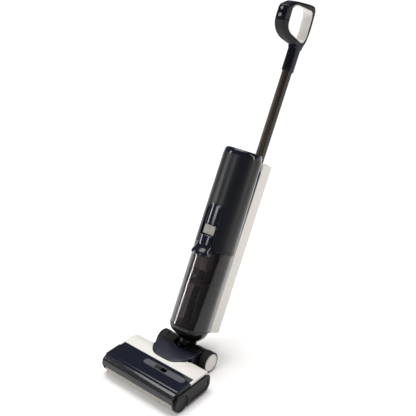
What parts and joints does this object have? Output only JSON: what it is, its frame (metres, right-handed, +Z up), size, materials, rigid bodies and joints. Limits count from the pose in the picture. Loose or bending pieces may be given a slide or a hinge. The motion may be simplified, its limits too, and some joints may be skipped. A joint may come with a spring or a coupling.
{
  "type": "wet dry floor scrubber",
  "caption": "Cordless wet and dry floor scrubber: a powered roller head, a reclining column with clean and dirty water tanks, and a pole with a loop handle.",
  "frame": {"origin": "middle of the squeegee blade's line on the floor, halfway across the head", "axes": "+Z up from the floor; the front with the roller faces -Y and the column leans back towards +Y; +X is the side that the roller pulls out of"},
  "size_m": [0.285, 0.7917, 0.9785],
  "materials": {
    "gloss_navy": "gloss",
    "satin_navy": "satin",
    "gloss_black": "gloss",
    "matte_black": "matte",
    "charcoal": "satin",
    "gloss_white": "gloss",
    "warm_grey": "satin",
    "mid_grey": "satin",
    "silver": "satin",
    "motor_steel": "brushed",
    "bronze_tube": "gloss",
    "black_rubber": "matte",
    "tyre_rubber": "matte",
    "roller_pile": "soft pile",
    "smoke_clear": "polished smoked plastic",
    "clear_window": "polished clear plastic",
    "board_green": "satin"
  },
  "bodies": {
    "head": {"head_chassis": "matte_black", "head_shell": "gloss_white", "neck_fairing": "satin_navy", "squeegee_blade": "black_rubber", "scraper_strip": "black_rubber", "spray_bar": "matte_black", "suction_duct": "matte_black", "brush_motor": "motor_steel", "drive_belt": "black_rubber", "left_side_cover": "matte_black", "right_side_cover": "matte_black", "left_axle_pin": "motor_steel", "right_axle_pin": "motor_steel", "suction_hose": "matte_black"},
    "left_wheel": {"left_tyre": "tyre_rubber", "left_hub": "gloss_white"},
    "right_wheel": {"right_tyre": "tyre_rubber", "right_hub": "gloss_white"},
    "roller_cover": {"roller_cover_panel": "gloss_navy", "roller_window": "clear_window", "latch_plate": "mid_grey"},
    "cover_latch": {"cover_latch": "matte_black"},
    "roller_carrier": {"roller_end_cap": "matte_black"},
    "roller": {"roller_core": "matte_black", "roller_pile": "roller_pile"},
    "drive": {"drive_coupler": "matte_black"},
    "motor_shaft": {"motor_pulley": "motor_steel"},
    "yoke": {"neck_yoke": "gloss_black"},
    "column": {"lower_bowl": "gloss_black", "body_shell": "charcoal", "release_bezel": "gloss_navy", "grip_plate": "warm_grey", "top_cap": "gloss_navy", "display_lens": "gloss_black", "spine": "matte_black", "left_trim_strip": "silver", "right_trim_strip": "silver", "battery_pack": "matte_black", "control_board": "board_green", "suction_motor": "motor_steel", "water_pump": "matte_black"},
    "impeller": {"impeller": "silver"},
    "tank_release_button": {"tank_release_button": "gloss_navy"},
    "pole_release_button": {"pole_release_button": "warm_grey"},
    "dirty_tank": {"dirty_tank_jar": "smoke_clear", "dirty_tank_lid": "gloss_navy", "filter_cartridge": "warm_grey", "intake_tube": "smoke_clear", "debris_strainer": "warm_grey"},
    "float": {"float": "gloss_white"},
    "clean_tank": {"clean_tank": "gloss_white"},
    "fill_cap": {"fill_cap": "gloss_white"},
    "pole": {"pole_tube": "bronze_tube", "handle_shell": "gloss_navy", "grip_cover": "matte_black", "handle_liner": "gloss_white", "button_panel": "gloss_navy"},
    "power_button": {"power_button": "mid_grey"},
    "mode_button": {"mode_button": "mid_grey"}
  },
  "joints": [
    {"name": "left_wheel_spin", "type": "hinge", "parent": "head", "child": "left_wheel", "pos_m": [-0.0835, 0.148, 0.031], "axis": [1, 0, 0], "continuous": true},
    {"name": "right_wheel_spin", "type": "hinge", "parent": "head", "child": "right_wheel", "pos_m": [0.0835, 0.148, 0.031], "axis": [1, 0, 0], "continuous": true},
    {"name": "roller_cover_lift", "type": "slide", "parent": "head", "child": "roller_cover", "axis": [0, 0, 1], "range_m": [0, 0.036]},
    {"name": "cover_latch_slide", "type": "slide", "parent": "roller_cover", "child": "cover_latch", "axis": [1, 0, 0], "range_m": [0, 0.018], "stiffness_N_per_m": 300},
    {"name": "roller_pull_out", "type": "slide", "parent": "head", "child": "roller_carrier", "axis": [1, 0, 0], "range_m": [0, 0.28]},
    {"name": "roller_spin", "type": "hinge", "parent": "roller_carrier", "child": "roller", "pos_m": [0, -0.033, 0.026], "axis": [1, 0, 0], "continuous": true},
    {"name": "drive_spin", "type": "hinge", "parent": "head", "child": "drive", "pos_m": [-0.12, -0.033, 0.026], "axis": [1, 0, 0], "continuous": true},
    {"name": "motor_spin", "type": "hinge", "parent": "head", "child": "motor_shaft", "pos_m": [-0.13, 0.0395, 0.034], "axis": [1, 0, 0], "continuous": true},
    {"name": "recline", "type": "hinge", "parent": "head", "child": "yoke", "pos_m": [0, 0.148, 0.031], "axis": [1, 0, 0], "range_deg": [-27, 28], "deforming": ["suction_hose"]},
    {"name": "swivel", "type": "hinge", "parent": "yoke", "child": "column", "pos_m": [0, 0.15507, 0.06123], "axis": [0, 0.471, 0.8821], "range_deg": [-35, 35], "deforming": ["suction_hose"]},
    {"name": "impeller_spin", "type": "hinge", "parent": "column", "child": "impeller", "pos_m": [0, 0.31171, 0.39704], "axis": [0, 0.471, 0.8821], "continuous": true},
    {"name": "tank_release_press", "type": "slide", "parent": "column", "child": "tank_release_button", "axis": [0, 0.8821, -0.471], "range_m": [0, 0.003], "stiffness_N_per_m": 300},
    {"name": "pole_release_press", "type": "slide", "parent": "column", "child": "pole_release_button", "axis": [0, -0.471, -0.8821], "range_m": [0, 0.0025], "stiffness_N_per_m": 300},
    {"name": "dirty_tank_pull", "type": "slide", "parent": "column", "child": "dirty_tank", "axis": [0, -0.8821, 0.471], "range_m": [0, 0.12]},
    {"name": "float_rise", "type": "slide", "parent": "dirty_tank", "child": "float", "axis": [0, 0.471, 0.8821], "range_m": [0, 0.04]},
    {"name": "clean_tank_pull", "type": "slide", "parent": "column", "child": "clean_tank", "axis": [0, 0.8821, -0.471], "range_m": [0, 0.08]},
    {"name": "fill_cap_pull", "type": "slide", "parent": "clean_tank", "child": "fill_cap", "axis": [0, 0.471, 0.8821], "range_m": [0, 0.03]},
    {"name": "pole_lift", "type": "slide", "parent": "column", "child": "pole", "axis": [0, 0.471, 0.8821], "range_m": [0, 0.07]},
    {"name": "power_button_press", "type": "slide", "parent": "pole", "child": "power_button", "axis": [0, 0.8821, -0.471], "range_m": [0, 0.0015], "stiffness_N_per_m": 300},
    {"name": "mode_button_press", "type": "slide", "parent": "pole", "child": "mode_button", "axis": [0, 0.8821, -0.471], "range_m": [0, 0.0015], "stiffness_N_per_m": 300}
  ],
  "couplings": [
    {"joint": "drive_spin", "follows": "roller_spin", "ratio": 1},
    {"joint": "motor_spin", "follows": "roller_spin", "ratio": 2}
  ]
}
